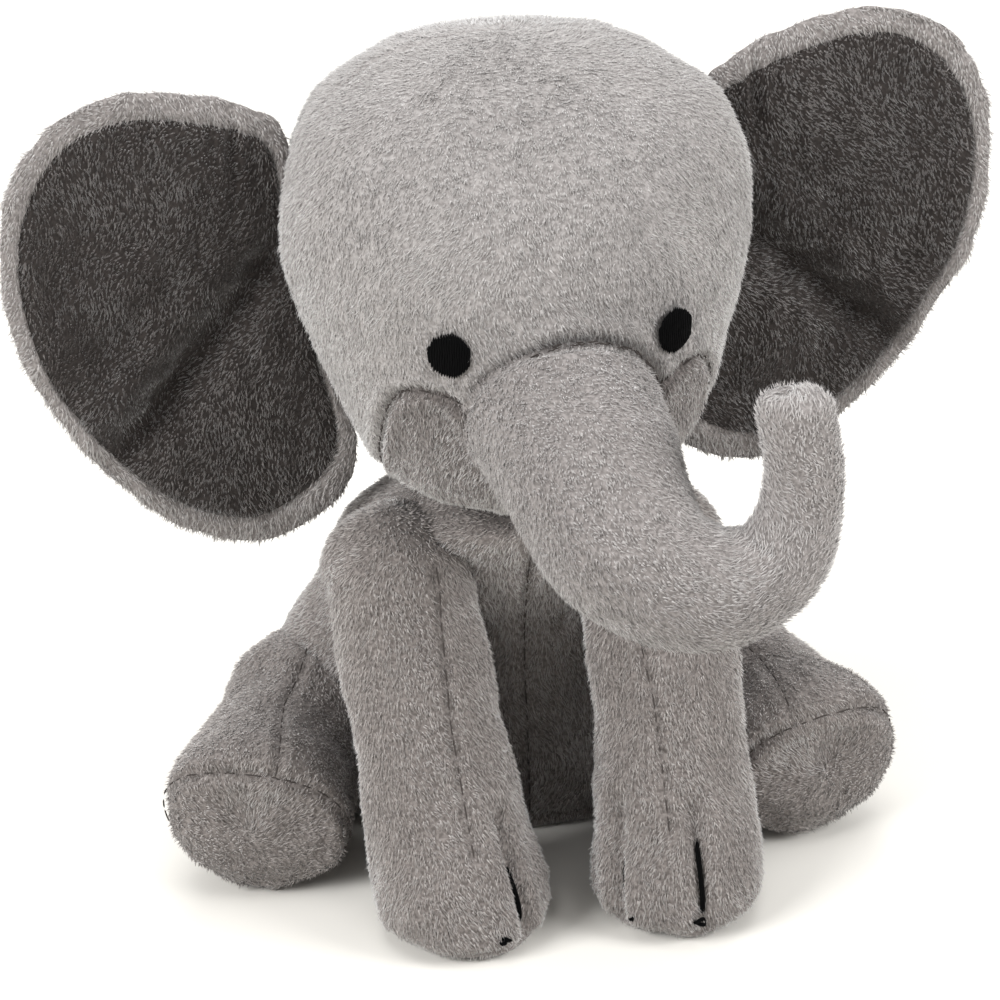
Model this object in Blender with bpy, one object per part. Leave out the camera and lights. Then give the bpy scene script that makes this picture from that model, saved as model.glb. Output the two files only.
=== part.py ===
"""Seated stuffed elephant: sewn cover panels over stuffing, with stitched eyes and toes.

Lengths are millimetres until a mesh is made. +Z is up, the toy faces -Y, and its own left side
is +X. The flat seat lies on z = 0. Every moving piece has its origin on its own pivot.
"""
import math

import bmesh
import bpy
import numpy as np

MM = 0.001

# ---- cloth and gaps
SKIN = 2.4            # thickness of a cover with its pile
SEAM = 0.2            # half the gap between two panels
STUFF_GAP = 2.2       # from a cover to the stuffing in it
SOCKET_GAP = 0.9      # clearance around a joint's ball
STAND_OFF = 0.3       # from a cover to what is stitched on it
HEAD_GAP = 0.9        # from the head to the trunk's root
EAR_GAP = 1.4         # from the head to an ear, so that it can flap
WELD = 1e-6           # metres; joins coincident points only

# ---- pivots, in the working frame; the finished frame has its origin at the seat's centre
SEAT_CENTRE = np.array([0.0, 44.0, 0.0])
NECK = np.array([0.0, 8.0, 109.0])
NECK_BALL = 20.0
HEAD_TURN = 4.6       # degrees the head is turned at rest, towards the toy's left
SHOULDER = np.array([33.0, -7.0, 88.0])
SHOULDER_BALL = 20.5
HIP = np.array([57.0, 33.0, 28.8])
HIP_BALL = 26.0
TAIL_ROOT = np.array([0.0, 94.0, 34.0])

# ---- stations: centre x, y, z, then the radii to the side, to the front and to the back
TORSO = [(0, 44, 0, 0, 0, 0), (0, 44, 0, 32, 21, 22), (0, 44, 0, 53, 33, 39), (0, 44, 5, 61, 37, 45),
         (0, 44, 18, 67, 40, 49), (0, 44, 36, 67, 41, 49), (0, 43, 52, 62, 40, 46),
         (0, 38, 66, 54, 36, 42), (0, 32, 79, 45, 33, 37), (0, 24, 90, 37, 30, 32),
         (0, 15, 98, 31, 27, 28), (0, 10, 104, 26, 25, 25)]
SEAT_SEAM = 3         # station where the seat panel meets the side panels

HEAD = [(0, 6, 108, 0, 0, 0), (0, 6, 109, 18, 20, 19), (0, 3, 115, 32, 31, 31),
        (0, 0, 123, 42, 41, 39), (0, 0, 135, 49, 50, 46), (0, 0, 150, 56, 56, 53),
        (0, 0, 166, 60, 59, 58), (0, 0, 182, 60.5, 58, 60), (0, 0, 198, 57, 52, 57),
        (0, 2, 211, 49, 42, 48), (0, 5, 221, 33, 28, 32), (0, 6, 226.5, 15, 13, 15),
        (0, 6, 228, 0, 0, 0)]
NECK_OPENING = 2      # head station where the cloth stops around the neck
CHEEK_SEAM = 5.45     # head station of the seam between the face and the chin

TRUNK = [(0, -40, 151, 24, 24, 24), (0.5, -55, 148.5, 23, 23, 23), (2, -69, 142.5, 22, 22, 22),
         (4, -81, 134.5, 20.5, 20.5, 20.5), (8.5, -91, 127.5, 18.6, 18.6, 18.6),
         (17, -97, 122.5, 16.3, 16.3, 16.3), (28, -99, 121, 14, 14, 14),
         (38, -99, 125, 12, 12, 12), (43.5, -98, 134, 10.3, 10.3, 10.3),
         (45, -97, 145, 9.6, 9.6, 9.6), (44.5, -96, 156, 9.1, 9.1, 9.1),
         (43.5, -95, 165, 8.7, 8.7, 8.7)]
TRUNK_BENDS = (3.6, 6.5)   # stations where the trunk bends
BEND_REACH = 0.42     # share of the radius by which a cover stops short of a bend
BEND_GAP = 0.6
BALL_OPENING = 35     # degrees; a ball's cover is open round its pole, inside the socket

# a leg's stations are measured from its own pivot
FRONT_LEG = [(0, 0, 20.5, 0, 0, 0), (0, 0, 18.7, 8.4, 8.4, 8.4), (0, 0, 13.3, 15.6, 15.6, 15.6),
             (0, 0, 5, 19.8, 19.8, 19.8), (0, -4, -7, 20, 19.7, 19.6),
             (0, -11.5, -23, 19.8, 19.4, 19.4), (0, -17.5, -41, 20, 19.8, 19.5),
             (0, -21, -59, 21.3, 21.5, 21), (0, -22, -72, 22.4, 23.2, 22),
             (0, -22, -80, 22, 23, 21.5), (0, -22, -84.3, 20.4, 21.4, 20),
             (0, -22, -86.9, 16.6, 17.4, 16.4), (0, -22, -87.6, 11, 11.6, 11),
             (0, -22, -87.6, 0, 0, 0)]
FRONT_SOLE = 10       # station of the seam round the sole
LEG_LEAN = {"left": 2.0, "right": -8.0}   # how far outside its shoulder each foot stands

HIND_LEG = [(-10.5, 21.5, 6, 0, 0, 0), (-8.6, 18, 5, 15, 15, 15), (-4.5, 9.5, 2.8, 23, 23, 23),
            (0, 0, 0, 25.4, 25.4, 25.4), (5.4, -10.5, -2, 22.9, 22.9, 22.9),
            (12.6, -23, -3.8, 21.3, 21.3, 21.3), (16.6, -33, -4.4, 22.4, 22.4, 22.4),
            (19.2, -39, -4.6, 22.4, 22.4, 22.4), (20.8, -42.8, -4.7, 20.2, 20.2, 20.2),
            (21.8, -45.2, -4.7, 15.4, 15.4, 15.4), (22.2, -46.2, -4.7, 8.6, 8.6, 8.6),
            (22.3, -46.5, -4.7, 0, 0, 0)]
HIND_SOLE = 7.4       # station of the seam round the sole

# the tail is measured from its root
TAIL = [(0, 0, 1, 0, 0, 0), (0, 0.8, 1, 3.4, 3.4, 3.4), (0, 3, 0, 5.2, 5.2, 5.2),
             (0, 9, -5, 5, 5, 5), (0, 14, -13, 4.6, 4.6, 4.6), (0, 16, -20, 4.8, 4.8, 4.8),
             (0, 16.4, -24, 3.4, 3.4, 3.4), (0, 16.5, -26, 0, 0, 0)]

# ---- ears: outline x, z of the toy's left ear, from the top of its root round to the bottom
EAR_OUTLINE = [(52, 204), (60, 212), (74, 218), (92, 222), (107, 219.5), (118.5, 209), (124.5, 192),
               (124, 170), (117, 149), (102, 126), (86, 110), (67, 101.5), (53, 106), (44, 120),
               (50, 145), (53, 175)]
EAR_CENTRE = (84, 165)
EAR_ROOT_Y = 11.0
EAR_SWEEP = 13.0      # how far forward of the root the rim stands
EAR_HINGE = np.array([51.0, 11.0, 166.0])
EAR_CLOTH = 1.9
EAR_CUP = 5.0         # how far the middle is hollowed back
EAR_THICK = 9.0
EAR_RIM = 0.90        # share of the radius that the lining covers

EYE = (27.0, 165.0, 5.2)    # x, z, radius
THREAD = 0.7          # radius of a toe stitch
TOE_SPREAD = 0.062    # turns from the middle of the foot to each toe stitch
TOE_SPAN = (8.05, 9.4)   # leg stations between which a toe stitch runs

FUR_LIGHT = (0.42, 0.39, 0.375)
FUR_MID = (0.30, 0.275, 0.265)
FUR_DARK = (0.20, 0.18, 0.175)
EAR_DARK = (0.085, 0.07, 0.066)
WADDING = (0.85, 0.85, 0.83)
BLACK = (0.012, 0.012, 0.013)

for old in list(bpy.data.objects):
    bpy.data.objects.remove(old, do_unlink=True)


# ---------------------------------------------------------------- shapes

class Form:
    """A round body through stations. u runs once round it, v counts stations along it."""

    def __init__(self, stations, level=False, side=(1, 0, 0)):
        rows = np.array(stations, float)
        first, last = rows[1].copy(), rows[-2].copy()
        for phantom, end, inner in ((first, rows[0], rows[1]), (last, rows[-1], rows[-2])):
            if end[3] == 0:
                phantom[3:] = -inner[3:]
            else:
                phantom[:] = 2 * end - inner
        self.rows = np.vstack([first, rows, last])
        self.last = len(rows) - 1.0
        self.level = level
        self.floor = rows[:, 2].min() if level else None
        if not level:
            self._carry_frame(np.array(side, float))
        self.inward = 1.0
        probe = self.point(0.0, self.last / 2, depth=1.0) - self.surface(0.0, self.last / 2)
        middle = self.station(self.last / 2)[:3] - self.surface(0.0, self.last / 2)
        self.inward = float(np.sign(probe.dot(middle)))

    def station(self, v):
        """Catmull-Rom value of all six columns at v."""
        v = np.clip(np.asarray(v, float), 0, self.last)
        i = np.minimum(v.astype(int), int(self.last) - 1)
        t = (v - i)[..., None]
        a, b, c, d = (self.rows[i + k] for k in range(4))
        return 0.5 * (2 * b + (c - a) * t + (2 * a - 5 * b + 4 * c - d) * t ** 2
                      + (3 * b - 3 * c + d - a) * t ** 3)

    def _carry_frame(self, side):
        """Carries the side direction along the centreline without twist."""
        self.steps = np.linspace(0, self.last, 301)
        centres = self.station(self.steps)[:, :3]
        tangents = np.gradient(centres, axis=0)
        for k in range(len(tangents)):
            length = np.linalg.norm(tangents[k])
            tangents[k] = tangents[k] / length if length > 1e-6 else tangents[k - 1]
        sides = []
        for tangent in tangents:
            side = side - tangent * side.dot(tangent)
            side = side / np.linalg.norm(side)
            sides.append(side)
        self.sides, self.tangents = np.array(sides), tangents

    def frame(self, v):
        """Side and front directions at v."""
        v = np.asarray(v, float)
        if self.level:
            side = np.broadcast_to([1.0, 0, 0], v.shape + (3,))
            return side, np.broadcast_to([0, -1.0, 0], v.shape + (3,))
        side, tangent = (np.stack([np.interp(v, self.steps, column) for column in table.T], -1)
                         for table in (self.sides, self.tangents))
        front = np.cross(side, tangent)
        return side, front / np.linalg.norm(front, axis=-1, keepdims=True)

    def surface(self, u, v):
        values = self.station(v)
        side, front = self.frame(v)
        angle = 2 * math.pi * np.asarray(u, float)
        reach = np.where(np.sin(angle) > 0, values[..., 4], values[..., 5])
        point = (values[..., :3] + side * (values[..., 3] * np.cos(angle))[..., None]
                 + front * (reach * np.sin(angle))[..., None])
        if self.floor is not None:
            point[..., 2] = np.maximum(point[..., 2], self.floor)
        return point

    def point(self, u, v, depth=0.0):
        """A point on the surface, or depth millimetres under it."""
        u, v = np.broadcast_arrays(np.asarray(u, float), np.asarray(v, float))
        base = self.surface(u, v)
        if not np.any(depth):
            return base
        safe = np.clip(v, 0.004, self.last - 0.004)
        h = 0.002
        across = self.surface(u + h, safe) - self.surface(u - h, safe)
        along = self.surface(u, safe + h) - self.surface(u, safe - h)
        normal = np.cross(across, along)
        normal /= np.maximum(np.linalg.norm(normal, axis=-1, keepdims=True), 1e-9)
        moved = base + normal * self.inward * depth
        for row in np.nonzero((self.station(v)[..., 3] < 1e-9).all(axis=-1))[0] if v.ndim == 2 else ():
            moved[row] = moved[row].mean(axis=0)
        return moved


def turned_head(points):
    """Turns head points about the neck's upright axis."""
    a = math.radians(HEAD_TURN)
    offset = points - NECK
    x = offset[..., 0] * math.cos(a) - offset[..., 1] * math.sin(a)
    y = offset[..., 0] * math.sin(a) + offset[..., 1] * math.cos(a)
    return np.stack([x, y, offset[..., 2]], -1) + NECK


def mirrored(points):
    return points * np.array([-1.0, 1, 1])


# ---------------------------------------------------------------- meshes

def material(name, colour, roughness=0.9):
    made = bpy.data.materials.new(name)
    made.use_nodes = True
    shader = made.node_tree.nodes["Principled BSDF"]
    shader.inputs["Base Color"].default_value = (*colour, 1.0)
    shader.inputs["Roughness"].default_value = roughness
    return made


def add_mesh(name, points, faces, origin, colour):
    """Makes one smooth closed object from millimetre points, with its origin at a pivot."""
    mesh = bpy.data.meshes.new(name)
    mesh.from_pydata([tuple(p) for p in (np.asarray(points) - origin) * MM], [], faces)
    work = bmesh.new()
    work.from_mesh(mesh)
    bmesh.ops.remove_doubles(work, verts=work.verts, dist=WELD)
    bmesh.ops.dissolve_degenerate(work, edges=work.edges, dist=WELD)
    bmesh.ops.recalc_face_normals(work, faces=work.faces)
    work.to_mesh(mesh)
    work.free()
    made = bpy.data.objects.new(name, mesh)
    made.location = (np.asarray(origin) - SEAT_CENTRE) * MM
    bpy.context.collection.objects.link(made)
    mesh.shade_smooth()
    mesh.set_sharp_from_angle(angle=math.radians(40))
    mesh.materials.append(material(name, colour))
    return made


def grid_faces(rows, columns, start=0, flip=False):
    faces = []
    for r in range(rows - 1):
        for c in range(columns - 1):
            a = start + r * columns + c
            quad = [a, a + 1, a + columns + 1, a + columns]
            faces.append(quad[::-1] if flip else quad)
    return faces


def shell(name, outer, inner, origin, colour):
    """A closed body between two point grids: rims close every edge that is not welded."""
    rows, columns = outer.shape[:2]
    count = rows * columns
    points = np.vstack([outer.reshape(-1, 3), inner.reshape(-1, 3)])
    faces = grid_faces(rows, columns) + grid_faces(rows, columns, count, flip=True)
    welded_round = np.allclose(outer[:, 0], outer[:, -1], atol=1e-6)
    if not welded_round:
        for c in (0, columns - 1):
            faces += [[r * columns + c, (r + 1) * columns + c, count + (r + 1) * columns + c,
                       count + r * columns + c] for r in range(rows - 1)]
    for r in (0, rows - 1):
        pole = np.allclose(outer[r, 0], outer[r, columns // 2], atol=1e-6)
        if not pole:
            faces += [[r * columns + c, r * columns + c + 1, count + r * columns + c + 1,
                       count + r * columns + c] for c in range(columns - 1)]
    return add_mesh(name, points, faces, origin, colour)


def solid(name, grid, origin, colour):
    """A closed body from one grid that is welded round; open ends get flat fans."""
    rows, columns = grid.shape[:2]
    points = [p for p in grid.reshape(-1, 3)]
    faces = grid_faces(rows, columns)
    for r in (0, rows - 1):
        if not np.allclose(grid[r, 0], grid[r, columns // 2], atol=1e-6):
            points.append(grid[r, :-1].mean(axis=0))
            hub = len(points) - 1
            faces += [[r * columns + c, r * columns + c + 1, hub] for c in range(columns - 1)]
    return add_mesh(name, np.array(points), faces, origin, colour)


def lattice(u0, u1, v0, v1, nu, nv):
    return np.meshgrid(np.linspace(u0, u1, nu + 1), np.linspace(v0, v1, nv + 1))


def panel(name, form, u, v, counts, origin, colour, place=None, thick=SKIN):
    """A cover panel of a form between two u and two v values."""
    grid = lattice(*u, *v, *counts)
    place = place or (lambda points: points)
    return shell(name, place(form.point(*grid)), place(form.point(*grid, depth=thick)),
                 origin, colour)


def filling(name, form, v, counts, origin, place=None, depth=SKIN + STUFF_GAP):
    """The stuffing of a form, a little inside its cover."""
    grid = lattice(0, 1, *v, *counts)
    place = place or (lambda points: points)
    return solid(name, place(form.point(*grid, depth=depth)), origin, WADDING)


def cutter(name, points):
    """A closed cutting body, shown as wire only."""
    made = solid(name, points, np.zeros(3), BLACK)
    made.hide_render = True
    made.display_type = "WIRE"
    return made


def cut(target, *tools):
    for tool in tools:
        step = target.modifiers.new(tool.name, "BOOLEAN")
        step.operation = "DIFFERENCE"
        step.solver = "EXACT"
        step.object = tool


def ball(centre, radius, nu=24, nv=12):
    """A latitude and longitude grid of a ball."""
    u, v = lattice(0, 2 * math.pi, -math.pi / 2, math.pi / 2, nu, nv)
    unit = np.stack([np.cos(v) * np.cos(u), np.cos(v) * np.sin(u), np.sin(v)], -1)
    return np.asarray(centre) + radius * unit


SIDES = (("left", lambda points: points), ("right", mirrored))

torso = Form(TORSO, level=True)
head = Form(HEAD, level=True)
trunk = Form(TRUNK)

# ---------------------------------------------------------------- torso

torso_top = torso.last
torso_cuts = []
for side, place in SIDES:
    torso_cuts.append(cutter(f"shoulder_socket_{side}",
                             ball(place(SHOULDER), SHOULDER_BALL + SOCKET_GAP)))
    torso_cuts.append(cutter(f"hip_socket_{side}", ball(place(HIP), HIP_BALL + SOCKET_GAP)))
neck_socket = cutter("neck_socket", ball(NECK, NECK_BALL + SOCKET_GAP))

for side, u, shift in (("left", (-0.25, 0.25), SEAM), ("right", (0.25, 0.75), -SEAM)):
    made = panel(f"torso_side_{side}", torso, u, (SEAT_SEAM + 0.02, torso_top), (12, 10),
                 np.zeros(3), FUR_MID, lambda points, dx=shift: points + (dx, 0, 0))
    cut(made, *torso_cuts[:2] if side == "left" else torso_cuts[2:])
made = panel("seat_panel", torso, (0, 1), (0, SEAT_SEAM - 0.02), (24, 4), np.zeros(3), FUR_MID)
cut(made, torso_cuts[1], torso_cuts[3])
made = filling("torso_stuffing", torso, (0, torso_top), (24, 12), np.zeros(3))
cut(made, *torso_cuts, neck_socket)

tail = Form([tuple(TAIL_ROOT + np.array(row[:3])) + row[3:] for row in TAIL])
solid("tail", tail.point(*lattice(0, 1, 0, tail.last, 12, 10)), TAIL_ROOT + (0, 2, 0), FUR_MID)

# ---------------------------------------------------------------- neck and head

solid("neck_stuffing", ball(NECK, NECK_BALL, 16, 8), NECK, WADDING)



def head_front_half(points):
    return turned_head(points + (0, -SEAM, 0))


def head_back_half(points):
    return turned_head(points + (0, SEAM, 0))


top = head.last
panel("face_panel", head, (0, 0.5), (CHEEK_SEAM + 0.015, top), (12, 8), NECK, FUR_LIGHT,
      head_front_half)
back = panel("head_back_panel", head, (0.5, 1), (NECK_OPENING, top), (12, 12), NECK, FUR_LIGHT,
             head_back_half)
chin = panel("chin_panel", head, (0, 0.5), (NECK_OPENING, CHEEK_SEAM - 0.015), (12, 5), NECK,
             FUR_DARK, head_front_half)
wadding = filling("head_stuffing", head, (0, top), (24, 12), NECK, turned_head)
for piece in (back, chin, wadding):
    cut(piece, neck_socket)


def head_front(x, z):
    """Height of the head's front surface towards -Y at x, z."""
    levels = np.linspace(0, head.last, 400)
    table = head.station(levels)
    v = np.interp(z, table[:, 2], levels)
    values = head.station(v)
    share = np.clip(1 - (x / np.maximum(values[..., 3], 1e-6)) ** 2, 0, 1)
    return values[..., 1] - values[..., 4] * np.sqrt(share)


def on_face(x, z, stand_off):
    """A point stand_off millimetres in front of the face, along its own normal."""
    h = 0.2
    slope_x = (head_front(x + h, z) - head_front(x - h, z)) / (2 * h)
    slope_z = (head_front(x, z + h) - head_front(x, z - h)) / (2 * h)
    normal = np.stack([slope_x, -np.ones_like(slope_x), slope_z], -1)
    normal /= np.linalg.norm(normal, axis=-1, keepdims=True)
    return np.stack([x, head_front(x, z), z], -1) + normal * stand_off[..., None]


for side, sign in (("left", 1), ("right", -1)):
    u, share = lattice(0, 2 * math.pi, 0, 1, 16, 2)
    x = sign * EYE[0] + EYE[2] * share * np.cos(u)
    z = EYE[1] + EYE[2] * share * np.sin(u)
    dome = 0.9 + 0.5 * np.sqrt(np.clip(1 - share ** 2, 0, 1))
    shell(f"eye_{side}", turned_head(on_face(x, z, dome)),
          turned_head(on_face(x, z, np.full_like(x, STAND_OFF))), NECK, BLACK)

# ---------------------------------------------------------------- trunk


def ball_end(form, v, depth, columns, degrees):
    """Rows of a ball's rear half at a station, each so many degrees off its pole."""
    u, angle = np.meshgrid(np.linspace(0, 1, columns + 1), np.radians(degrees))
    centre, radius = form.station(v)[:3], form.station(v)[3] - depth
    side, front = form.frame(v)
    along = np.cross(front, side)
    u = 2 * math.pi * u
    around = (side * np.cos(u)[..., None] + front * np.sin(u)[..., None])
    return centre + radius * (around * np.sin(angle)[..., None] - along * np.cos(angle)[..., None])


def short_of(form, v, distance):
    """The station value that lies a distance before v along the centreline."""
    steps = np.linspace(v - 1.5, v, 200)
    away = np.linalg.norm(form.station(steps)[:, :3] - form.station(v)[:3], axis=1)
    return steps[np.argmin(abs(away - distance))]


def trunk_grid(low, high, depth, balled, filled=False, counts=(18, 10)):
    """A trunk length; a balled one starts at its bend, and a filled one is closed behind."""
    tube = trunk.point(*lattice(0, 1, low, high, *counts), depth=depth)
    if not balled:
        return turned_head(tube)
    degrees = np.linspace(BALL_OPENING, 90, 5)
    rear = ball_end(trunk, low, depth, counts[0], np.append(0, degrees) if filled else degrees)
    return turned_head(np.vstack([rear, tube[1:]]))


head_shape = lattice(0, 1, 0, top, 44, 30)
trunk_keepout = cutter("trunk_keepout", turned_head(head.point(*head_shape, depth=-HEAD_GAP)))
limits = (0.0, *TRUNK_BENDS, trunk.last)
for k, part in enumerate(("root", "middle", "tip")):
    low, high = limits[k], limits[k + 1]
    balled, ends_at_bend = k > 0, k < 2
    origin = turned_head(trunk.station(low)[:3]) if balled else NECK
    if ends_at_bend:
        bend, radius = trunk.station(high)[:3], trunk.station(high)[3]
        high = short_of(trunk, high, BEND_REACH * radius)
        socket = cutter(f"trunk_socket_{part}", ball(turned_head(bend), radius + BEND_GAP))
    cover = shell(f"trunk_{part}_cover", trunk_grid(low, high, 0, balled),
                  trunk_grid(low, high, SKIN, balled), origin,
                  FUR_MID if k == 0 else FUR_LIGHT)
    stuffing = solid(f"trunk_{part}_stuffing",
                     trunk_grid(low, high, SKIN + STUFF_GAP, balled, filled=True), origin,
                     WADDING)
    for piece in (cover, stuffing):
        if not balled:
            cut(piece, trunk_keepout)
        if ends_at_bend:
            cut(piece, socket)

end, end_radius = trunk.station(trunk.last)[:3], trunk.station(trunk.last)[3]
side, front = trunk.frame(trunk.last)
along = np.cross(front, side)
u, share = lattice(0, 2 * math.pi, 0, 1, 18, 3)
flat = end + end_radius * share[..., None] * (side * np.cos(u)[..., None]
                                              + front * np.sin(u)[..., None])
rise = 1.4 * np.sqrt(np.clip(1 - share ** 2, 0, 1))[..., None]
shell("trunk_end_disc", turned_head(flat + along * (STAND_OFF + 1 + rise)),
      turned_head(flat + along * STAND_OFF), origin, FUR_LIGHT)

# ---------------------------------------------------------------- ears


def closed_spline(corners, samples):
    """A closed Catmull-Rom curve through corners, with its first point repeated."""
    ring = np.array(corners, float)
    t = np.linspace(0, len(ring), samples + 1)
    i = t.astype(int)
    f = (t - i)[:, None]
    a, b, c, d = (ring[(i + k - 1) % len(ring)] for k in range(4))
    return 0.5 * (2 * b + (c - a) * f + (2 * a - 5 * b + 4 * c - d) * f ** 2
                  + (3 * b - 3 * c + d - a) * f ** 3)


def ear_points(start, stop, depth, samples=24, rows=6):
    """Ear surface from the middle of the lining (0) over the rim (1) to the middle behind (2)."""
    rim = closed_spline(EAR_OUTLINE, samples) - EAR_CENTRE
    v = np.linspace(start, stop, rows + 1)[:, None]
    share = np.sin(np.minimum(v, 2 - v) * math.pi / 2)
    length = np.linalg.norm(rim, axis=1)
    flat = np.array(EAR_CENTRE) + share[..., None] * (rim * ((length - depth) / length)[:, None])
    half = (EAR_THICK / 2 - depth) * np.sqrt(np.clip(1 - share ** 3.5, 0, 1))
    outward = np.clip((flat[..., 0] - EAR_OUTLINE[0][0]) / 72, 0, 1)
    middle = EAR_ROOT_Y - EAR_SWEEP * outward ** 1.5 + EAR_CUP * (1 - share ** 2) * outward
    y = middle + np.where(v < 1, -half, half)
    return np.stack([flat[..., 0], y, flat[..., 1]], -1)


ear_keepout = cutter("ear_keepout", turned_head(head.point(*head_shape, depth=-EAR_GAP)))
lining_end = 2 / math.pi * math.asin(EAR_RIM)
for side, place in SIDES:
    origin = turned_head(place(EAR_HINGE))
    front_of = (0, lining_end - 0.006, 3)
    behind = (lining_end + 0.006, 2, 7)
    pieces = []
    for name, (start, stop, rows), colour in (("lining", front_of, EAR_DARK),
                                              ("back", behind, FUR_LIGHT)):
        pieces.append(shell(f"ear_{name}_{side}",
                            turned_head(place(ear_points(start, stop, 0, rows=rows))),
                            turned_head(place(ear_points(start, stop, EAR_CLOTH, rows=rows))),
                            origin, colour))
    pieces.append(solid(f"ear_batting_{side}",
                        turned_head(place(ear_points(0, 2, EAR_CLOTH + 0.7, rows=6))), origin,
                        WADDING))
    for piece in pieces:
        cut(piece, ear_keepout)

# ---------------------------------------------------------------- legs

for side, place in SIDES:
    lean = LEG_LEAN[side]
    pivot = place(SHOULDER)
    rows = [(SHOULDER[0] + row[0] + lean * max(0, -row[2]) / 80, SHOULDER[1] + row[1],
             SHOULDER[2] + row[2]) + row[3:] for row in FRONT_LEG]
    leg = Form(rows, level=True)
    panel(f"front_leg_cover_{side}", leg, (0, 1), (0.6, FRONT_SOLE - 0.02), (16, 11), pivot,
          FUR_MID, place)
    panel(f"front_sole_{side}", leg, (0, 1), (FRONT_SOLE + 0.05, leg.last), (16, 3), pivot,
          FUR_MID, place)
    filling(f"front_leg_stuffing_{side}", leg, (0, leg.last), (16, 13), pivot, place)
    for toe, offset in (("inner", -TOE_SPREAD), ("outer", TOE_SPREAD)):
        steps = np.linspace(*TOE_SPAN, 6)
        line = leg.point(np.full(6, 0.25 - offset), steps, depth=-(STAND_OFF + THREAD))
        thread = Form([(*line[0], 0, 0, 0), *[(*p, THREAD, THREAD, THREAD) for p in line[1:-1]],
                       (*line[-1], 0, 0, 0)])
        solid(f"toe_stitch_{toe}_{side}", place(thread.point(*lattice(0, 1, 0, 5, 6, 8))), pivot,
              BLACK)

for side, place in SIDES:
    pivot = place(HIP)
    leg = Form([tuple(HIP + np.array(row[:3])) + row[3:] for row in HIND_LEG])
    panel(f"hind_leg_cover_{side}", leg, (0, 1), (0.6, HIND_SOLE - 0.02), (18, 11), pivot,
          FUR_MID, place)
    panel(f"hind_sole_{side}", leg, (0, 1), (HIND_SOLE + 0.02, leg.last), (18, 4), pivot,
          FUR_MID, place)
    filling(f"hind_leg_stuffing_{side}", leg, (0, leg.last), (18, 13), pivot, place)
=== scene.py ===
"""Looks of the seated plush elephant: sewn skins with seams, short pile and stitching.

Shapes are worked out in millimetres in the CAD's working frame, whose y is 44 mm ahead of the
row frame's, and are turned into metres when a mesh is made.
"""
import math

import bpy
import numpy as np
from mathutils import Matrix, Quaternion, Vector
from mathutils.kdtree import KDTree


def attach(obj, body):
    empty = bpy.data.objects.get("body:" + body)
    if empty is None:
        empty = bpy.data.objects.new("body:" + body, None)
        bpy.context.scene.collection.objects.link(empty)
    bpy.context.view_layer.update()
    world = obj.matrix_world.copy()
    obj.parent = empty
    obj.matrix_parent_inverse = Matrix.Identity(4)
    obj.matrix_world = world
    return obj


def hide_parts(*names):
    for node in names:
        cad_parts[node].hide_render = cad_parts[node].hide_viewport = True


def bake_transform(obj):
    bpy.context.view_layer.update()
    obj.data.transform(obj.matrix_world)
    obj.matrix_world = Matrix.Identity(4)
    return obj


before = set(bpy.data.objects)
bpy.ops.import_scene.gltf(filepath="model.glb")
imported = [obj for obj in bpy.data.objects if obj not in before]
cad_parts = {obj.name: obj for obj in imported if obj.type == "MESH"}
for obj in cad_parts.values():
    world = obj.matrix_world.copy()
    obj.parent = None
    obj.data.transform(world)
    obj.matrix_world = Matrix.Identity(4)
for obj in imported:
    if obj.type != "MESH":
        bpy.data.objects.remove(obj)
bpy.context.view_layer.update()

MM = 0.001
SEAT_CENTRE = np.array([0.0, 44.0, 0.0])
NECK = np.array([0.0, 8.0, 109.0])
HEAD_TURN = math.radians(4.6)
SIDES = (("left", 1.0), ("right", -1.0))

# ---- camera, fitted to the view: a long lens from the front, a little from the toy's right
AZIMUTH, ELEVATION, ROLL = math.radians(-6.2), math.radians(24), math.radians(2.7)
TARGET = np.array([-7.0, -20.0, 113.0])
DISTANCE, LENS = 0.70, 100.8


def metres(points):
    return (np.asarray(points, float) - SEAT_CENTRE) * MM


def turned_head(points):
    """Turns head points about the neck's upright axis."""
    offset = np.asarray(points, float) - NECK
    c, s = math.cos(HEAD_TURN), math.sin(HEAD_TURN)
    return np.stack([offset[..., 0] * c - offset[..., 1] * s,
                     offset[..., 0] * s + offset[..., 1] * c, offset[..., 2]], -1) + NECK


def add_camera():
    data = bpy.data.cameras.new("camera")
    data.lens, data.sensor_width, data.clip_start = LENS, 36.0, 0.01
    made = bpy.data.objects.new("camera", data)
    bpy.context.scene.collection.objects.link(made)
    back = Vector((math.sin(AZIMUTH) * math.cos(ELEVATION),
                   -math.cos(AZIMUTH) * math.cos(ELEVATION), math.sin(ELEVATION)))
    made.location = Vector(metres(TARGET)) + back * DISTANCE
    made.rotation_mode = "QUATERNION"
    made.rotation_quaternion = (-back).to_track_quat("-Z", "Y") @ Quaternion((0, 0, 1), -ROLL)
    bpy.context.scene.camera = made


add_camera()

# ---------------------------------------------------------------- stations of the forms
# centre x, y, z, then the radii to the side, to the front and to the back

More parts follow.
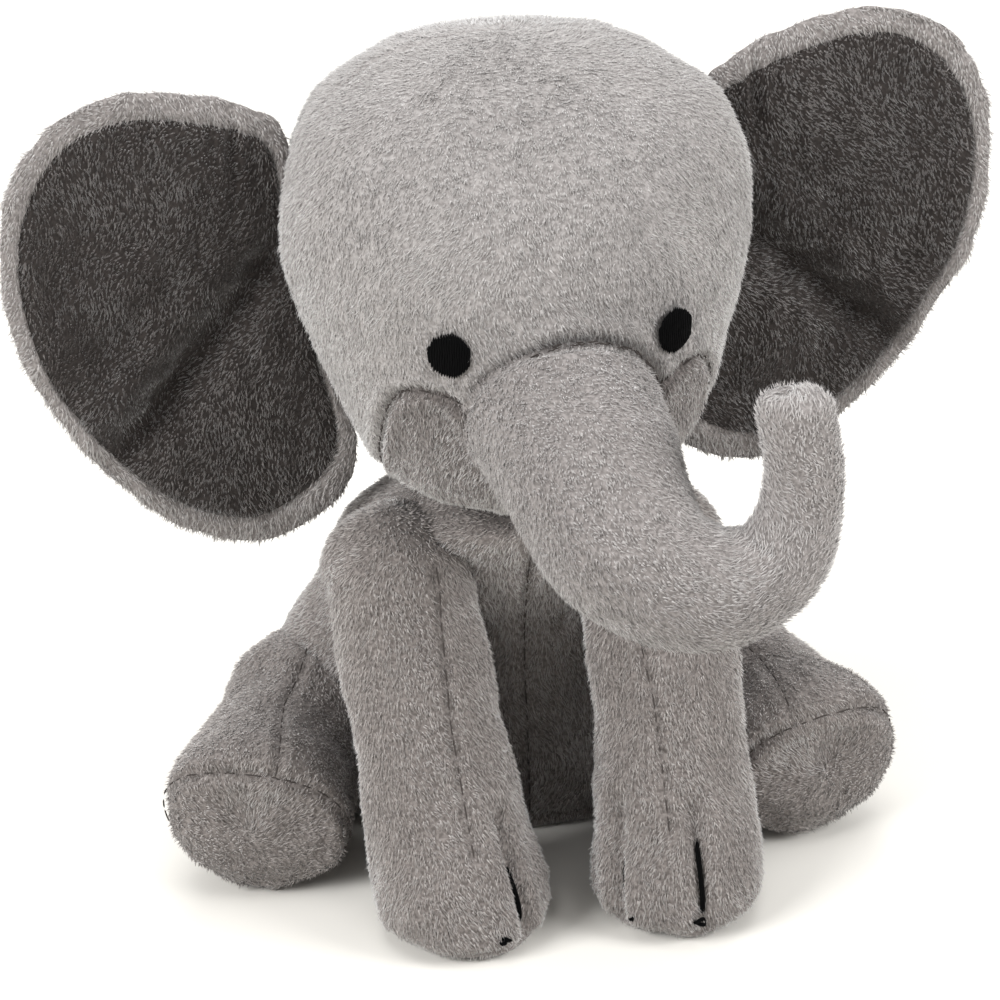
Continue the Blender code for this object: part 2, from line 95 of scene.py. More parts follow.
TORSO = [(0, 44, 0, 0, 0, 0), (0, 44, 0, 32, 21, 22), (0, 44, 0, 53, 33, 39),
         (0, 44, 5, 61, 37, 45), (0, 44, 18, 67, 40, 49), (0, 44, 36, 67, 41, 49),
         (0, 43, 52, 62, 40, 46),
         (0, 38, 66, 54, 38, 42), (0, 32, 79, 49, 39, 37), (0, 24, 90, 46, 38.5, 32),
         (0, 15, 98, 43, 37, 28), (0, 10, 105, 36, 34, 25), (0, 8, 110.5, 19, 19, 15),
         (0, 8, 112, 0, 0, 0)]
HEAD = [(0, 6, 107, 0, 0, 0), (0, 5, 108, 18, 22, 19), (0, 2, 114, 32, 34, 31),
        (0.8, -1, 122, 39.5, 44, 39), (1.6, -1, 134, 45.5, 51, 46), (1.6, 0, 150, 51.8, 56, 53),
        (1.4, 0, 166, 56.6, 59, 58), (1.2, 0, 182, 58.4, 58, 60), (1.4, 0, 198, 56, 52, 57),
        (1.6, 2, 211, 49.5, 42, 48), (1.8, 5, 220.5, 34, 28, 32), (1.8, 6, 225.5, 16, 13, 15),
        (1.8, 6, 227, 0, 0, 0)]
CHEEK_SEAM = 5.0     # the station that is bent to follow the seam above the cheeks
CHEEK_CURVE = [(0, 2.5), (0.04, 3.2), (0.067, 3.9), (0.10, 4.72), (0.117, 5.08), (0.130, 5.27),
               (0.145, 5.34), (0.16, 5.25), (0.178, 5.05), (0.19, 4.95), (0.25, 4.9)]
ROOT_ARC = [(-22, -51, 143), (-22, -51, 149), (-20, -53.7, 155.2), (-15.3, -56.4, 160.7),
            (-7.3, -58.5, 165.5), (-1, -59, 167.8), (8.4, -58.5, 167.4), (17.4, -56.2, 163.3),
            (22.7, -53, 156.5), (25, -49.5, 148)]
TRUNK = [(0, -40, 150, 24, 24, 21), (0.5, -55, 148, 23.4, 23, 20.6), (2, -69, 142.5, 22, 22, 21.4),
         (4, -81, 134.5, 20.5, 20.5, 20.5), (8.5, -91, 127.5, 18.6, 18.6, 18.6),
         (17, -97, 122.5, 16.3, 16.3, 16.3), (28, -99, 121, 14, 14, 14),
         (38, -99, 125, 12, 12, 12), (43.5, -98, 134, 10.3, 10.3, 10.3),
         (45, -97, 145, 9.6, 9.6, 9.6), (44.5, -96, 155, 9.4, 9.4, 9.4),
         (43.7, -95.2, 161.6, 9.1, 9.1, 9.1), (43.5, -95, 164.8, 6.4, 6.4, 6.4),
         (43.4, -94.9, 165.4, 0, 0, 0)]
TRUNK_BENDS, TRUNK_SPLIT = (3.6, 6.5), 5.0     # stations of the two bends and of the seam
BEND_REACH = 0.8                               # how far each bend spreads either way
SHOULDER = np.array([33.0, -7.0, 88.0])
FRONT_LEG = [(0, 0, 20.5, 0, 0, 0), (0, 0, 18.7, 8.4, 8.4, 8.4), (0, 0, 13.3, 15.6, 15.6, 15.6),
             (0, 0, 5, 19.8, 19.8, 19.8), (0, -4, -7, 20, 19.7, 19.6),
             (0, -11.5, -23, 19.8, 19.4, 19.4), (0, -17.8, -41, 20, 20, 19.5),
             (0, -22.5, -59, 21.6, 22.5, 21.5), (0, -25, -72, 23, 25, 23.5),
             (0, -25.6, -80, 23, 25.6, 23.5), (0, -25.6, -84.3, 21.4, 24, 22),
             (0, -25.6, -86.9, 17.6, 20, 18), (0, -25.6, -87.6, 12, 13.6, 12),
             (0, -25.6, -87.6, 0, 0, 0)]
LEG_LEAN = {"left": 1.0, "right": -9.5}     # how far outside its shoulder each foot stands
TOES = {"left": (0.236, 0.395), "right": (0.215, 0.362)}   # where round each foot the stitches are
TOE_DEPTH = {("left", "outer"): 2.6, ("left", "inner"): 3.3, ("right", "outer"): 1.6,
             ("right", "inner"): 2.6}     # how far below the outline each line of thread lies
TOE_END = 8.9                       # the station where every line ends
TOE_KNOT = {   # the station where each line starts, then its knot's place round and along the foot
    ("left", "outer"): (7.1, 0.008, 9.0), ("left", "inner"): (7.5, -0.034, 9.15),
    ("right", "outer"): (7.5, 0.0, 9.2), ("right", "inner"): (7.4, -0.052, 9.1)}
BURIED_TOE = ("right", "outer")     # this stitch lies under the pile
KNOT_DEPTH, BURIED_KNOT_DEPTH = -0.25, 2.8
HIP = np.array([57.0, 33.0, 28.8])
HIND_LEG = [(-10.5, 21.5, 6, 0, 0, 0), (-8.6, 18, 5, 15, 15, 15), (-4.5, 9.5, 2.8, 23, 23, 23),
            (0, 0, 0, 25.4, 25.4, 25.4), (5.4, -10.5, -2, 22.9, 22.9, 22.9),
            (11.6, -23.5, -3.4, 23.4, 23, 23), (15, -34.5, -3.8, 25, 24, 23.6),
            (17, -41.5, -4, 25.2, 24.2, 23.4), (18.2, -45.8, -4.3, 23, 22.6, 21.4),
            (18.9, -48.6, -4.6, 17.6, 17.4, 16.4), (19.2, -49.8, -4.7, 9.6, 9.6, 9.2),
            (19.3, -50.1, -4.7, 0, 0, 0)]
TAIL_ROOT = np.array([0.0, 94.0, 34.0])
TAIL = [(0, -1, 1, 0, 0, 0), (0, 0, 1, 3.4, 3.4, 3.4), (0, 3, 0, 5.2, 5.2, 5.2),
        (0, 9, -5, 5, 5, 5), (0, 14, -13, 4.6, 4.6, 4.6), (0, 16, -20, 4.8, 4.8, 4.8),
        (0, 16.4, -24, 3.4, 3.4, 3.4), (0, 16.5, -26, 0, 0, 0)]
EAR_OUTLINE = [(52, 204), (60, 212), (74, 218), (92, 222), (107, 219.5), (118.5, 209), (124.5, 192),
               (124, 170), (117, 149), (102, 126), (86, 110), (67, 101.5), (51, 105.5), (40, 119),
               (44, 145), (50, 175)]
EAR_CENTRE, EAR_ROOT_Y, EAR_SWEEP, EAR_CUP, EAR_THICK = (84, 165), 11.0, 13.0, 5.0, 9.0
EAR_RIM = 0.885      # where the lining ends, as a share of the way from the centre to the rim
EAR_EDGE_DEPTH = 0.9
EAR_FOLD = [(58, 0, 173), (80, 0, 152), (104, 0, 131)]
FOLD_UP = (0.674, 0.738)     # the direction across the fold, upwards
EAR_PINCH = (66, 205)
EAR_SHIFT = {1.0: (2.4, 0.5), -1.0: (-5.0, -4.0)}    # lift of the outer side, and of the lobe
EYE_X, EYE_Z, EYE_HALF_WIDTH, EYE_HALF_HEIGHT = 27.0, 165.6, 4.55, 5.9
FACE_SHIFT = 1.2     # the face's middle lies this far to the toy's left

PILE_DEPTH = 0.9     # how far the backing lies below the outline, which is where the pile ends
FLOOR_REACH, FLOOR_GAP = 0.6, 0.4     # undersides this low are set down this high
TORSO_BARE, LEG_BARE = 2.0, 2.2       # no pile grows below these heights, where the toy rests
SEAT_SEAM, SOLE_SEAM, HIND_SOLE_SEAM = 3.0, 10.0, 7.2     # stations of the seams at the ends


class Form:
    """A round body through stations. u runs once round it, v counts stations along it."""

    def __init__(self, stations, level=False):
        rows = np.array(stations, float)
        first, last = rows[1].copy(), rows[-2].copy()
        for phantom, end, inner in ((first, rows[0], rows[1]), (last, rows[-1], rows[-2])):
            if end[3] == 0:
                phantom[3:] = -inner[3:]
            else:
                phantom[:] = 2 * end - inner
        self.rows, self.last = np.vstack([first, rows, last]), len(rows) - 1.0
        self.level, self.floor = level, rows[:, 2].min()
        self.steps = np.linspace(0, self.last, 301)
        centres = self.station(self.steps)[:, :3]
        tangents = np.gradient(centres, axis=0)
        side, self.sides = np.array([1.0, 0, 0]), []
        for k in range(len(tangents)):
            length = np.linalg.norm(tangents[k])
            tangents[k] = tangents[k] / length if length > 1e-6 else tangents[k - 1]
            side = side - tangents[k] * side.dot(tangents[k])
            side = side / np.linalg.norm(side)
            self.sides.append(side)
        self.sides, self.tangents = np.array(self.sides), tangents

    def station(self, v):
        v = np.clip(np.asarray(v, float), 0, self.last)
        i = np.minimum(v.astype(int), int(self.last) - 1)
        t = (v - i)[..., None]
        a, b, c, d = (self.rows[i + k] for k in range(4))
        return 0.5 * (2 * b + (c - a) * t + (2 * a - 5 * b + 4 * c - d) * t ** 2
                      + (3 * b - 3 * c + d - a) * t ** 3)

    def surface(self, u, v):
        v = np.asarray(v, float)
        values = self.station(v)
        if self.level:
            side, front = np.array([1.0, 0, 0]), np.array([0, -1.0, 0])
        else:
            side, tangent = (np.stack([np.interp(v, self.steps, column) for column in rows.T], -1)
                             for rows in (self.sides, self.tangents))
            front = np.cross(side, tangent)
            front = front / np.linalg.norm(front, axis=-1, keepdims=True)
        angle = 2 * math.pi * np.asarray(u, float)
        reach = np.where(np.sin(angle) > 0, values[..., 4], values[..., 5])
        point = (values[..., :3] + side * (values[..., 3] * np.cos(angle))[..., None]
                 + front * (reach * np.sin(angle))[..., None])
        if self.level:
            point[..., 2] = np.maximum(point[..., 2], self.floor)
        return point


def grid_faces(nu, nv):
    """Quads of a grid that closes on itself round u."""
    return [(r * nu + c, r * nu + (c + 1) % nu, (r + 1) * nu + (c + 1) % nu, (r + 1) * nu + c)
            for r in range(nv) for c in range(nu)]


class Skin:
    """Points, quads and nap directions of one surface, before it becomes an object."""

    def __init__(self, form, nu, nv, v0=0.0, v1=None, nap=1.0, warp=None):
        v1 = form.last if v1 is None else v1
        steps = form.station(np.linspace(v0, v1, 400))
        away = np.abs(np.diff(steps[:, 3])) + np.linalg.norm(np.diff(steps[:, :3], axis=0), axis=1)
        travel = np.concatenate([[0], np.cumsum(away)])
        v = np.interp(np.linspace(0, travel[-1], nv + 1), travel, np.linspace(v0, v1, 400))
        self.u, self.v = np.meshgrid(np.linspace(0, 1, nu + 1)[:-1], v)
        if warp:
            self.v = warp(self.u, self.v)
        self.nu, self.nv, self.nap_sign, self.seams, self.stitched = nu, nv, nap, [], []
        self.points = form.surface(self.u, self.v)
        self.push(-PILE_DEPTH)
        self.faces = grid_faces(nu, nv)

    def normals(self):
        """Outward normals of the grid. The nap directions along it are set too."""
        across = np.roll(self.points, -1, 1) - np.roll(self.points, 1, 1)
        along = np.gradient(self.points, axis=0)
        normal = np.cross(across, along)
        length = np.linalg.norm(normal, axis=-1, keepdims=True)
        centre = self.points.mean(axis=1, keepdims=True)
        normal = normal / np.maximum(length, 1e-9)
        middle = self.nv // 2
        if np.sum(normal[middle] * (self.points[middle] - centre[middle])) < 0:
            normal = -normal
        self.along = self.nap_sign * along / np.maximum(
            np.linalg.norm(along, axis=-1, keepdims=True), 1e-9)
        return normal

    def push(self, amount):
        """Moves the surface out by so many millimetres at each point."""
        self.points = self.points + self.normals() * np.asarray(amount)[..., None]
        return self

    def lumps(self, height, length, seed):
        return self.push(height * soft_noise(self.points, length, seed))

    def groove(self, line, depth=1.1, width=1.6, stitched=True):
        """Presses a fold along a line of points, with seam stitches down in it if asked for."""
        gap = distance_to(self.points.reshape(-1, 3), line).reshape(self.u.shape)
        lip = 0.35 * depth * np.exp(-((gap - 2.2 * width) / (1.4 * width)) ** 2)
        self.seams.append(line)
        if stitched:
            self.stitched.append(line)
        return self.push(lip - depth * np.exp(-(gap / width) ** 2))


def flatten(skin):
    """Sets the underside of a skin down on the floor."""
    low = skin.points[..., 2] < FLOOR_REACH + PILE_DEPTH
    skin.points[..., 2] = np.where(low, FLOOR_GAP, skin.points[..., 2])


def soft_noise(points, length, seed):
    """A smooth noise of about -1 to 1 with features of a given length."""
    dice = np.random.default_rng(seed)
    total = np.zeros(points.shape[:-1])
    for _ in range(9):
        way = dice.normal(size=3)
        way *= dice.uniform(0.7, 1.5) / np.linalg.norm(way)
        total += np.sin(points @ way * (2 * math.pi / length) + dice.uniform(0, 6.28))
    return total / 4.5


def distance_to(points, line):
    """Distance from each point to a polyline."""
    line = np.asarray(line, float)
    best = np.full(len(points), 1e9)
    for a, b in zip(line[:-1], line[1:]):
        d = b - a
        t = np.clip((points - a) @ d / max(d @ d, 1e-9), 0, 1)
        best = np.minimum(best, np.linalg.norm(points - a - t[:, None] * d, axis=1))
    return best


# ---------------------------------------------------------------- materials

TONES = {   # linear albedo of each plush: the ground between the tufts, dark as painted shade deep in the pile, then three pile tones
    "light": ((0.20, 0.186, 0.180), (0.325, 0.306, 0.298), (0.395, 0.374, 0.365),
              (0.455, 0.434, 0.424)),
    "trunk": ((0.15, 0.137, 0.131), (0.262, 0.241, 0.233), (0.345, 0.321, 0.312),
              (0.42, 0.396, 0.386)),
    "body": ((0.105, 0.092, 0.086), (0.222, 0.199, 0.188), (0.322, 0.293, 0.279),
             (0.42, 0.388, 0.371)),
    # the chin's plush is the head's fabric, darker as painted shade for how its nap lies to the
    # light
    "shaded_cheek": ((0.07, 0.061, 0.058), (0.16, 0.142, 0.135), (0.26, 0.235, 0.225),
              (0.37, 0.34, 0.327)),
    "lining": ((0.013, 0.0100, 0.0088), (0.030, 0.0242, 0.0220), (0.056, 0.0464, 0.0428),
               (0.098, 0.0840, 0.0785)),
}


def principled(name, colour, roughness=0.85, sheen=0.0):
    made = bpy.data.materials.new(name)
    made.use_nodes = True
    shader = made.node_tree.nodes["Principled BSDF"]
    shader.inputs["Base Color"].default_value = (*colour, 1.0)
    shader.inputs["Roughness"].default_value = roughness
    shader.inputs["Sheen Weight"].default_value = sheen
    shader.inputs["Sheen Roughness"].default_value = 0.45
    shader.inputs["Specular IOR Level"].default_value = 0.25
    return made, made.node_tree, shader


def plush_ground(name, tones):
    """The backing and the pile roots, seen between the tufts: fine dark and mid flecks, dark as
    painted shade deep in the pile.
    """
    made, tree, shader = principled(f"{name}_ground", tones[1], 0.95, 0.35)
    links, nodes = tree.links, tree.nodes
    place = nodes.new("ShaderNodeTexCoord")
    fine = nodes.new("ShaderNodeTexNoise")
    fine.inputs["Scale"].default_value = 1100
    fine.inputs["Detail"].default_value = 3
    ramp = nodes.new("ShaderNodeValToRGB")
    ramp.color_ramp.elements[0].position = 0.38
    ramp.color_ramp.elements[0].color = (*tones[0], 1)
    ramp.color_ramp.elements[1].position = 0.62
    ramp.color_ramp.elements[1].color = (*tones[1], 1)
    bump = nodes.new("ShaderNodeBump")
    bump.inputs["Strength"].default_value = 0.6
    bump.inputs["Distance"].default_value = 0.0006
    links.new(place.outputs["Object"], fine.inputs["Vector"])
    links.new(fine.outputs["Fac"], ramp.inputs["Fac"])
    links.new(ramp.outputs["Color"], shader.inputs["Base Color"])
    links.new(fine.outputs["Fac"], bump.inputs["Height"])
    links.new(bump.outputs["Normal"], shader.inputs["Normal"])
    return made


GROUND = {name: plush_ground(name, tones) for name, tones in TONES.items()}
PILE = {name: [principled(f"{name}_pile_{k}", tones[k], 0.8, 0.7)[0] for k in (1, 2, 3)]
        for name, tones in TONES.items()}


def thread_material():
    """Black embroidery thread: fine lay lines and a faint satin gloss."""
    made, tree, shader = principled("black_thread", (0.002, 0.002, 0.0022), 0.7)
    shader.inputs["Specular IOR Level"].default_value = 0.04
    place = tree.nodes.new("ShaderNodeTexCoord")
    lay = tree.nodes.new("ShaderNodeTexWave")
    lay.inputs["Scale"].default_value = 1400
    lay.inputs["Distortion"].default_value = 2
    bump = tree.nodes.new("ShaderNodeBump")
    bump.inputs["Strength"].default_value = 0.5
    bump.inputs["Distance"].default_value = 0.0002
    tree.links.new(place.outputs["Object"], lay.inputs["Vector"])
    tree.links.new(lay.outputs["Fac"], bump.inputs["Height"])
    tree.links.new(bump.outputs["Normal"], shader.inputs["Normal"])
    return made


THREAD = thread_material()
# the seam thread is near black as painted shade down in the seam grooves
SEAM_SHADE_THREAD = principled("seam_shade_thread", (0.045, 0.038, 0.035), 0.9)[0]
SEAM_RISE = 0.22                            # how far seam stitches stand over the backing
THREAD_RADIUS, SEAM_RADIUS = 0.42, 0.22


# ---------------------------------------------------------------- objects

def add_object(name, points, faces, materials, place=None):
    """A smooth object from working-frame points."""
    points = np.asarray(points, float).reshape(-1, 3)
    mesh = bpy.data.meshes.new(name)
    mesh.from_pydata(metres(place(points) if place else points), [], faces)
    mesh.validate()
    mesh.shade_smooth()
    made = bpy.data.objects.new(name, mesh)
    bpy.context.scene.collection.objects.link(made)
    for material in materials:
        mesh.materials.append(material)
    return made


def keep_faces(skin, keep):
    """Faces of a skin whose corners are all kept. The choice is given per point."""
    keep = np.asarray(keep).reshape(-1)
    return [f for f in skin.faces if all(keep[i] for i in f)]


PILE_LENGTH, PILE_WIDTH, PILE_LEAN = 1.75, 0.37, math.radians(62)
PILE_PER_MM2 = 1.8
PILE_PER_OBJECT = 45000
LINING_LENGTH = 1.45    # the pile of the ear linings is a little shorter
ROOT_DEPTH = 0.25       # tufts start this far under the backing
BLOTCH = {"light": 0.1, "trunk": 0.12, "body": 0.18, "shaded_cheek": 0.2, "lining": 0.5}


def scatter(skin, faces, dice):
    """Random places all over a skin, with the normal and the nap direction at each."""
    points = skin.points.reshape(-1, 3)
    normals = skin.normals().reshape(-1, 3)
    naps = skin.along.reshape(-1, 3)
    quads = np.array(faces)
    triangles = np.vstack([quads[:, [0, 1, 2]], quads[:, [0, 2, 3]]])
    a, b, c = (points[triangles[:, k]] for k in range(3))
    area = np.linalg.norm(np.cross(b - a, c - a), axis=1) / 2
    count = int(area.sum() * PILE_PER_MM2)
    pick = dice.choice(len(triangles), size=count, p=area / area.sum())
    r1, r2 = np.sqrt(dice.random(count)), dice.random(count)
    weight = np.stack([1 - r1, r1 * (1 - r2), r1 * r2], -1)[..., None]
    return [(table[triangles[pick]] * weight).sum(1) for table in (points, normals, naps)]


def tuft_objects(name, corners, slots, tone, place):
    """Objects of closed four-sided tufts, none of them too large to be exported whole."""
    made = []
    for part, first in enumerate(range(0, len(corners), PILE_PER_OBJECT)):
        last = min(first + PILE_PER_OBJECT, len(corners))
        base = 4 * np.arange(last - first)[:, None]
        sides = np.concatenate([base + f for f in ([0, 2, 1], [0, 1, 3], [1, 2, 3], [2, 0, 3])], 1)
        tufts = add_object(f"{name}_{part + 1}", corners[first:last], sides.reshape(-1, 3),
                           PILE[tone], place)
        tufts.data.polygons.foreach_set("material_index", slots[first:last].repeat(4))
        tufts.data.update()
        made.append(tufts)
    return made


def add_pile(name, skin, tone, faces, place=None, length=PILE_LENGTH, bare=None, seed=1,
             swirl=0.5, tint=None):
    """Short closed tufts over a skin, leaning along its nap, in three tones, darker as painted
    shade along its seams and creases, with any painted light and shade that is passed in.
    """
    dice = np.random.default_rng(seed)
    root, normal, nap = scatter(skin, faces, dice)
    if bare is not None:
        keep = ~bare(root)
        root, normal, nap = root[keep], normal[keep], nap[keep]
    count = len(root)
    normal /= np.maximum(np.linalg.norm(normal, axis=1, keepdims=True), 1e-9)
    turn = (swirl * soft_noise(root, 38, seed + 5) + 0.35 * soft_noise(root, 9, seed + 6)
            + 0.28 * dice.normal(size=count))
    nap = nap - normal * np.sum(nap * normal, 1, keepdims=True)
    nap /= np.maximum(np.linalg.norm(nap, axis=1, keepdims=True), 1e-9)
    cross = np.cross(normal, nap)
    nap = nap * np.cos(turn)[:, None] + cross * np.sin(turn)[:, None]
    cross = np.cross(normal, nap)

    # the pile parts and shortens along the seams
    gap = np.full(count, 9.0)
    for line in skin.seams:
        gap = np.minimum(gap, distance_to(root, line))
    keep = gap > 0.65 + 0.3 * soft_noise(root, 4.5, seed + 4)
    root, normal, nap, cross, gap = (table[keep] for table in (root, normal, nap, cross, gap))
    count = len(root)
    clump = soft_noise(root, 5.5, seed + 7)
    lean = PILE_LEAN + 0.22 * clump + 0.12 * dice.normal(size=count)
    reach = length * (1 + 0.18 * dice.normal(size=count) + 0.12 * clump)
    reach = reach * (1 - 0.55 * np.exp(-(gap / 1.6) ** 2))
    width = PILE_WIDTH * (0.7 + 0.6 * dice.random(count))
    way = normal * np.cos(lean)[:, None] + nap * np.sin(lean)[:, None]
    tip = root + way * reach[:, None]
    tip[:, 2] = np.maximum(tip[:, 2], 0.1)
    root = root - normal * ROOT_DEPTH
    corners = np.stack([root + cross * width[:, None] / 2, root - cross * width[:, None] / 2,
                        root + normal * 0.9 * width[:, None], tip], 1)
    # tone slots: a random tone, darker along seams and creases as painted shade, plus any painted
    # light and shade passed in
    shade = (0.12 * soft_noise(root, 3.2, seed + 8) + 0.7 * dice.normal(size=count)
             + BLOTCH[tone] * soft_noise(root, 30, seed + 9) - 1.2 * np.exp(-(gap / 1.2) ** 2)
             + (tint(root) if tint else 0))
    slots = np.digitize(shade, (-0.5, 0.5)).astype(np.int32)
    return tuft_objects(name, corners, slots, tone, place)


def strand(path, outward, radius, sides=6):
    """Points and faces of one closed thread along a path, thin at both ends."""
    path = np.asarray(path, float)
    way = np.gradient(path, axis=0)
    way /= np.linalg.norm(way, axis=1, keepdims=True)
    across = np.cross(way, outward)
    across /= np.linalg.norm(across, axis=1, keepdims=True)
    out = np.cross(across, way)
    share = np.linspace(-1, 1, len(path))
    thick = radius * np.sqrt(np.clip(1.02 - share ** 6, 0.02, 1))
    angle = np.linspace(0, 2 * math.pi, sides, endpoint=False)
    ring = (out[:, None] * np.cos(angle)[None, :, None]
            + across[:, None] * np.sin(angle)[None, :, None])
    points = (path[:, None] + ring * thick[:, None, None]).reshape(-1, 3)
    faces = [(r * sides + c, r * sides + (c + 1) % sides, (r + 1) * sides + (c + 1) % sides,
              (r + 1) * sides + c) for r in range(len(path) - 1) for c in range(sides)]
    last = (len(path) - 1) * sides
    return points, faces + [tuple(range(sides))[::-1], tuple(last + k for k in range(sides))]


def sewn(name, threads, radius, material, place=None):
    """One object of many threads, each a path with its outward directions."""
    points, faces, base = [], [], 0
    for path, outward in threads:
        more, sides = strand(path, outward, radius)
        points.append(more)
        faces += [tuple(base + i for i in f) for f in sides]
        base += len(more)
    return add_object(name, np.vstack(points), faces, [material], place)


def seam_shade_thread(name, skin, place=None):
    """Stitches that show here and there where seams pull the pile apart, dark as painted shade down
    in the seams.
    """
    dice = np.random.default_rng(len(name))
    normals = skin.normals().reshape(-1, 3)
    tree = KDTree(len(normals))
    for k, point in enumerate(skin.points.reshape(-1, 3)):
        tree.insert(point, k)
    tree.balance()
    threads = []
    for line in skin.stitched:
        line = np.asarray(line, float)
        travel = np.concatenate([[0], np.cumsum(np.linalg.norm(np.diff(line, axis=0), axis=1))])
        steps = np.arange(0, travel[-1], 0.7)
        spots = np.stack([np.interp(steps, travel, line[:, k]) for k in range(3)], -1)
        near = [tree.find(spot)[1] for spot in spots]
        spots = spots + normals[near] * SEAM_RISE
        first = 0
        while first < len(spots) - 4:
            last = first + int(dice.integers(4, 9))
            if len(spots[first:last]) > 3:
                threads.append((spots[first:last], normals[near][first:last]))
            first = last + int(dice.integers(0, 4))
    return sewn(name, threads, SEAM_RADIUS, SEAM_SHADE_THREAD, place)


def follow(made, body, blend=None):
    """Ties an object to one body, or, when a blend between two is given, only bakes its transform
    in.
    """
    if blend:
        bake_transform(made)
    else:
        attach(made, body)
    return made


def finish_skin(name, skin, tone, body, replaces, place=None, blend=None, fill=0.9, **pile_look):
    """Makes a skin, its pile and its stitches, tied to one body, or with the transform baked in
    when a blend between two is given.
    """
    made = follow(add_object(name, skin.points, skin.faces, [GROUND[tone]], place), body, blend)
    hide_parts(*replaces)
    for pile in add_pile(f"{name}_pile", skin, tone, skin.faces, place, **pile_look):
        follow(pile, body, blend)
    if skin.stitched:
        follow(seam_shade_thread(f"{name}_seams", skin, place), body, blend)


# ---------------------------------------------------------------- torso and neck


def belly_tint(p):
    """Painted shade: darker low down in front, between the legs, where shadow falls."""
    return np.where(p[:, 1] < 0, -1.8 * np.exp(-((p[:, 2] - 12) / 34) ** 2), 0)


def below(height):
    """A test for the parts of a skin that lie below a height."""
    return lambda p: p[:, 2] < height


torso = Form(TORSO, level=True)
skin = Skin(torso, 220, 130, nap=-1.0)
skin.lumps(0.9, 34, 11).lumps(0.35, 13, 12)
seam_v = np.linspace(2.6, 11.5, 60)
for u in (0.25, 0.75):
    skin.groove(torso.surface(np.full(60, u), seam_v), 1.3, 1.5)
skin.groove(torso.surface(np.linspace(0, 1, 90), np.full(90, SEAT_SEAM)), 1.0, 1.5, False)
CHEST_CREASE = [(19, -3, 96), (17.6, -2.5, 89.4), (11.6, 1, 75.6), (10, 2, 66)]
for sign in (-1, 1):
    skin.groove([(sign * x, y, z) for x, y, z in CHEST_CREASE], 1.4, 1.8, False)
flatten(skin)
# the torso's pile is darker low in front as painted shade
finish_skin("torso_skin", skin, "body", "torso",
            ("torso_side_left", "torso_side_right", "seat_panel", "torso_stuffing"),
            bare=below(TORSO_BARE), seed=21, tint=belly_tint)

neck = Form([(0, 8, 90, 0, 0, 0), (0, 8, 95, 13.5, 13.5, 13.5), (0, 8, 109, 19, 19, 19),
             (0, 8, 123, 13.5, 13.5, 13.5), (0, 8, 128, 0, 0, 0)], level=True)
skin = Skin(neck, 64, 36)
made = add_object("neck_skin", skin.points, skin.faces, [GROUND["body"]])
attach(made, "neck")
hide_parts("neck_stuffing")

# ---------------------------------------------------------------- head

head = Form(HEAD, level=True)


def cheek_warp(u, v):
    """Bends the grid rows so that one of them follows the seam above the cheeks."""
    row = v[np.argmin(np.abs(v[:, 0] - CHEEK_SEAM)), 0]
    side = np.where(u <= 0.5, np.minimum(u, 0.5 - u), 0)
    behind = np.where(u > 0.5, np.minimum(u - 0.5, 1 - u), 0)
    seam = np.interp(side, *np.array(CHEEK_CURVE).T)
    seam = np.where(behind > 0, np.interp(behind, (0, 0.1), (CHEEK_CURVE[0][1], row)), seam)
    share = np.interp(v, (0.8, row, 9.5), (0, 1, 0))
    return v + (seam - row) * share


HEAD_GRID = (240, 150)
unbent = Skin(head, *HEAD_GRID)
seam_row = int(np.argmin(np.abs(unbent.v[:, 0] - CHEEK_SEAM)))
skin = Skin(head, *HEAD_GRID, nap=-1.0, warp=cheek_warp)
skin.lumps(0.9, 52, 31).lumps(0.35, 17, 32)
skin.groove(skin.points[seam_row, :HEAD_GRID[0] // 2 + 1].copy(), 1.7, 1.4)
for sign in (-1, 1):
    skin.groove([(sign * 36, -44.8, 156), (sign * 38, -43.4, 150.5)], 0.9, 1.1)
skin.groove([(x, y - 0.5, z) for x, y, z in ROOT_ARC], 2.4, 1.8)
side_v = np.linspace(1.5, head.last, 80)
for u in (0.0, 0.5):
    skin.groove(head.surface(np.full(80, u), side_v), 0.8, 1.5, False)
chin = (skin.u <= 0.5 + 1e-6) & (np.arange(skin.nv + 1)[:, None] <= seam_row)


def under_eye(p):
    """Where an eye covers the face: no pile grows there."""
    away = np.min([np.hypot((p[:, 0] - FACE_SHIFT - s * EYE_X) / EYE_HALF_WIDTH,
                            (p[:, 2] - EYE_Z) / EYE_HALF_HEIGHT) for s in (-1, 1)], axis=0)
    return (away < 1) & (p[:, 1] < 0)


chin_faces = keep_faces(skin, chin)
chin_set = set(chin_faces)
skull_faces = [f for f in skin.faces if f not in chin_set]
# the chin panel takes the darker tone, painted shade on the head's fabric
for name, tone, faces, nodes, seed in (
        ("head_skin", "light", skull_faces, ("face_panel", "head_back_panel", "head_stuffing"), 41),
        ("chin_skin", "shaded_cheek", chin_faces, ("chin_panel",), 43)):
    made = add_object(name, skin.points, faces, [GROUND[tone]], turned_head)
    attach(made, "head")
    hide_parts(*nodes)
    for pile in add_pile(f"{name}_pile", skin, tone, faces, turned_head, bare=under_eye, seed=seed):
        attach(pile, "head")

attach(seam_shade_thread("head_seams", skin, turned_head), "head")

# ---------------------------------------------------------------- embroidery


def face_depth(x, z):
    """Depth of the head's front at a place on the face."""
    v = np.interp(z, *(head.station(head.steps)[:, 2], head.steps))
    rows = head.station(v)
    x = x - rows[..., 0]
    return rows[..., 1] - rows[..., 4] * np.sqrt(np.clip(1 - (x / rows[..., 3]) ** 2, 0, 1))


